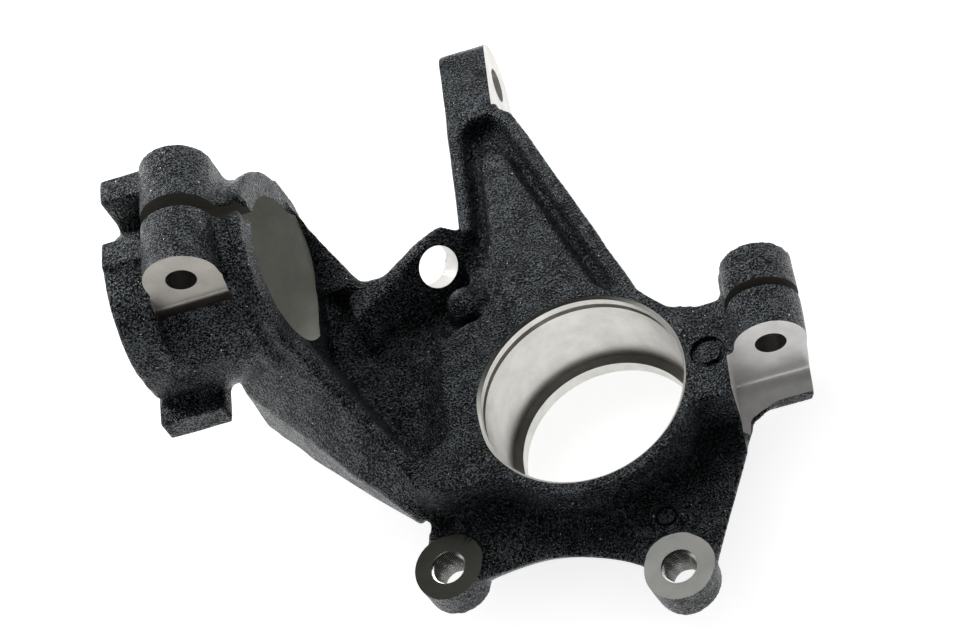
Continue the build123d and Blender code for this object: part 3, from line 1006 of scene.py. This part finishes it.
@dataclass
class Studio:
    """Floor, world, lamps and camera."""

    floor_z: float = -48.9
    lens: float = 97.5
    eye: tuple[float, float, float] = (0.17918, -0.56464, 0.83527)
    right: tuple[float, float, float] = (0.94045, -0.09964, -0.32499)
    up: tuple[float, float, float] = (0.26891, 0.80289, 0.53203)
    back: tuple[float, float, float] = (0.20792, -0.58775, 0.78187)
    cone: tuple[float, float] = (64.0, 90.0)
    shade: float = 0.02
    shine: float = 1.0
    fill: float = 0.40
    floor_half: float = 6000.0
    floor_grey: float = 0.72
    floor_glow: float = 0.78

    def build(self) -> None:
        """Make everything that isn't the object."""
        self.camera()
        self.floor()
        self.world()
        self.lamp("key", (-0.55, 0.83, 0.10), 0.65, 5.0)
        self.lamp("side", (-0.85, 0.42, -0.26), 0.22, 1.6)
        self.lamp("rim", (0.70, 0.40, -0.60), 0.5, 5.0)

    def camera(self) -> None:
        """The main camera, from its place and its three directions."""
        data = bpy.data.cameras.new("camera")
        data.sensor_fit = "HORIZONTAL"
        data.sensor_width = 36.0
        data.lens = self.lens
        data.clip_start = 0.01
        data.clip_end = 50.0
        camera = bpy.data.objects.new("camera", data)
        frame = Matrix((self.right, self.up, self.back)).transposed().to_4x4()
        frame.translation = self.eye
        camera.matrix_world = frame
        bpy.context.scene.collection.objects.link(camera)
        bpy.context.scene.camera = camera

    def floor(self) -> None:
        """A wide pale floor that shows near white to the camera and keeps shadows."""
        size = self.floor_half
        corners = np.array([(-size, -size), (size, -size), (size, size), (-size, size)])
        points = np.column_stack([corners, np.full(4, self.floor_z)])
        plane = hold("floor", points, [[0, 1, 2, 3]])
        material = bpy.data.materials.new("floor")
        material.use_nodes = True
        tree = material.node_tree
        tree.nodes.clear()
        diffuse = tree.nodes.new("ShaderNodeBsdfDiffuse")
        diffuse.inputs["Color"].default_value = (*[self.floor_grey] * 3, 1.0)
        glow = tree.nodes.new("ShaderNodeEmission")
        glow.inputs["Color"].default_value = (1.0, 1.0, 1.0, 1.0)
        tree.links.new(self.seen(tree, self.floor_glow), glow.inputs["Strength"])
        both = tree.nodes.new("ShaderNodeAddShader")
        out = tree.nodes.new("ShaderNodeOutputMaterial")
        tree.links.new(diffuse.outputs[0], both.inputs[0])
        tree.links.new(glow.outputs[0], both.inputs[1])
        tree.links.new(both.outputs[0], out.inputs["Surface"])
        plane.data.materials.append(material)

    def seen(self, tree: bpy.types.NodeTree, strength: float) -> bpy.types.NodeSocket:
        """The strength for camera, glossy and transmitted rays, and none for the rest."""
        path = tree.nodes.new("ShaderNodeLightPath")
        total = path.outputs["Is Camera Ray"]
        for ray in ("Is Glossy Ray", "Is Transmission Ray"):
            join = tree.nodes.new("ShaderNodeMath")
            join.operation = "MAXIMUM"
            tree.links.new(total, join.inputs[0])
            tree.links.new(path.outputs[ray], join.inputs[1])
            total = join.outputs[0]
        span = tree.nodes.new("ShaderNodeMapRange")
        span.inputs["To Max"].default_value = strength
        tree.links.new(total, span.inputs["Value"])
        return span.outputs["Result"]

    def world(self) -> None:
        """White surroundings, with a dark cone round the main camera's place.

        The camera sees white all round. Reflections see the same white, except that it
        falls smoothly from `shine` to `shade` as a direction turns from `cone[1]` to
        `cone[0]` degrees away from that place. Diffuse light comes evenly from all
        round at the strength `fill`.
        """
        world = bpy.data.worlds.new("surroundings")
        bpy.context.scene.world = world
        world.use_nodes = True
        tree = world.node_tree
        back = tree.nodes["Background"]
        back.inputs["Color"].default_value = (1.0, 1.0, 1.0, 1.0)
        heading = tree.nodes.new("ShaderNodeVectorMath")
        heading.operation = "DOT_PRODUCT"
        heading.inputs[1].default_value = self.back
        place = tree.nodes.new("ShaderNodeTexCoord")
        tree.links.new(place.outputs["Generated"], heading.inputs[0])
        fall = tree.nodes.new("ShaderNodeMapRange")
        fall.interpolation_type = "SMOOTHSTEP"
        near, far = np.cos(np.radians(self.cone))
        limits = (far, near, self.shine, self.shade)
        for socket, number in zip(list(fall.inputs)[1:5], limits):
            socket.default_value = number
        tree.links.new(heading.outputs["Value"], fall.inputs["Value"])
        path = tree.nodes.new("ShaderNodeLightPath").outputs
        strength = self.chosen(tree, path["Is Diffuse Ray"], fall.outputs["Result"], self.fill)
        strength = self.chosen(tree, path["Is Camera Ray"], strength, 1.0)
        tree.links.new(strength, back.inputs["Strength"])

    def chosen(
        self,
        tree: bpy.types.NodeTree,
        test: bpy.types.NodeSocket,
        other: bpy.types.NodeSocket,
        number: float,
    ) -> bpy.types.NodeSocket:
        """The number where the test is 1, and the other socket's value where it is 0."""
        pick = tree.nodes.new("ShaderNodeMix")
        pick.inputs["B"].default_value = number
        tree.links.new(test, pick.inputs["Factor"])
        tree.links.new(other, pick.inputs["A"])
        return pick.outputs["Result"]

    def lamp(
        self, name: str, way: tuple[float, float, float], size: float, power: float
    ) -> None:
        """A square soft lamp, one metre away, that looks at the object.

        Args:
            name: Name of the lamp.
            way: Direction to the lamp along the camera's right, up and back.
            size: Side of the lamp, in metres.
            power: Power, in watts.
        """
        data = bpy.data.lights.new(name, "AREA")
        data.shape = "SQUARE"
        data.size = size
        data.energy = power
        lamp = bpy.data.objects.new(name, data)
        right, up, back = np.array(self.right), np.array(self.up), np.array(self.back)
        heading = way[0] * right + way[1] * up + way[2] * back
        unit = heading / np.linalg.norm(heading)
        first, second, along = axes_round(tuple(unit))
        frame = Matrix((first, second, along)).transposed().to_4x4()
        frame.translation = unit
        lamp.matrix_world = frame
        bpy.context.scene.collection.objects.link(lamp)


def main() -> None:
    """Build the knuckle and its studio, and report the piece."""
    logging.basicConfig(level=logging.INFO, format="%(message)s")
    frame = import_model()
    Studio().build()
    left, right = (-65.8, -52.2), (23.2, -77.4)
    # Both caliper ears carry the same faced iron. The left face's colour is darkened as painted
    # shade and the right face's is lightened as painted light, so each matches how it is lit.
    shaded_ear_metal = CutMetal("faced_ear_painted_shade", (0.034, 0.035, 0.030), 0.42, ToolMark.FACED, (*left, 0))
    light = CutMetal("faced_ear_painted_light", (0.21, 0.21, 0.20), 0.38, ToolMark.FACED, (*right, 0))
    features = [
        BearingSeat().build(),
        CaliperEar("ear_left", left, shaded_ear_metal).build(),
        CaliperEar("ear_right", right, light).build(),
        BallJointClamp().build(),
        StrutClamp().build(),
        TrackRodEye().build(),
        SensorHole().build(),
        CastMark("neck_mark", (51.3, 0.2, 0.0), 7.0, 4.6, 1.5).build(),
        CastMark("ear_mark", (21.5, -54.9, -18.8), 4.4, 3.2, 0.6).build(),
    ]
    piece = Casting().build(frame["nodes"][NODE], features)
    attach(piece, "root")
    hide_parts(NODE)
    LOG.info("%s: %d faces", piece.name, len(piece.data.polygons))
    bpy.context.scene.view_settings.view_transform = "Standard"


if __name__ == "__main__":
    main()
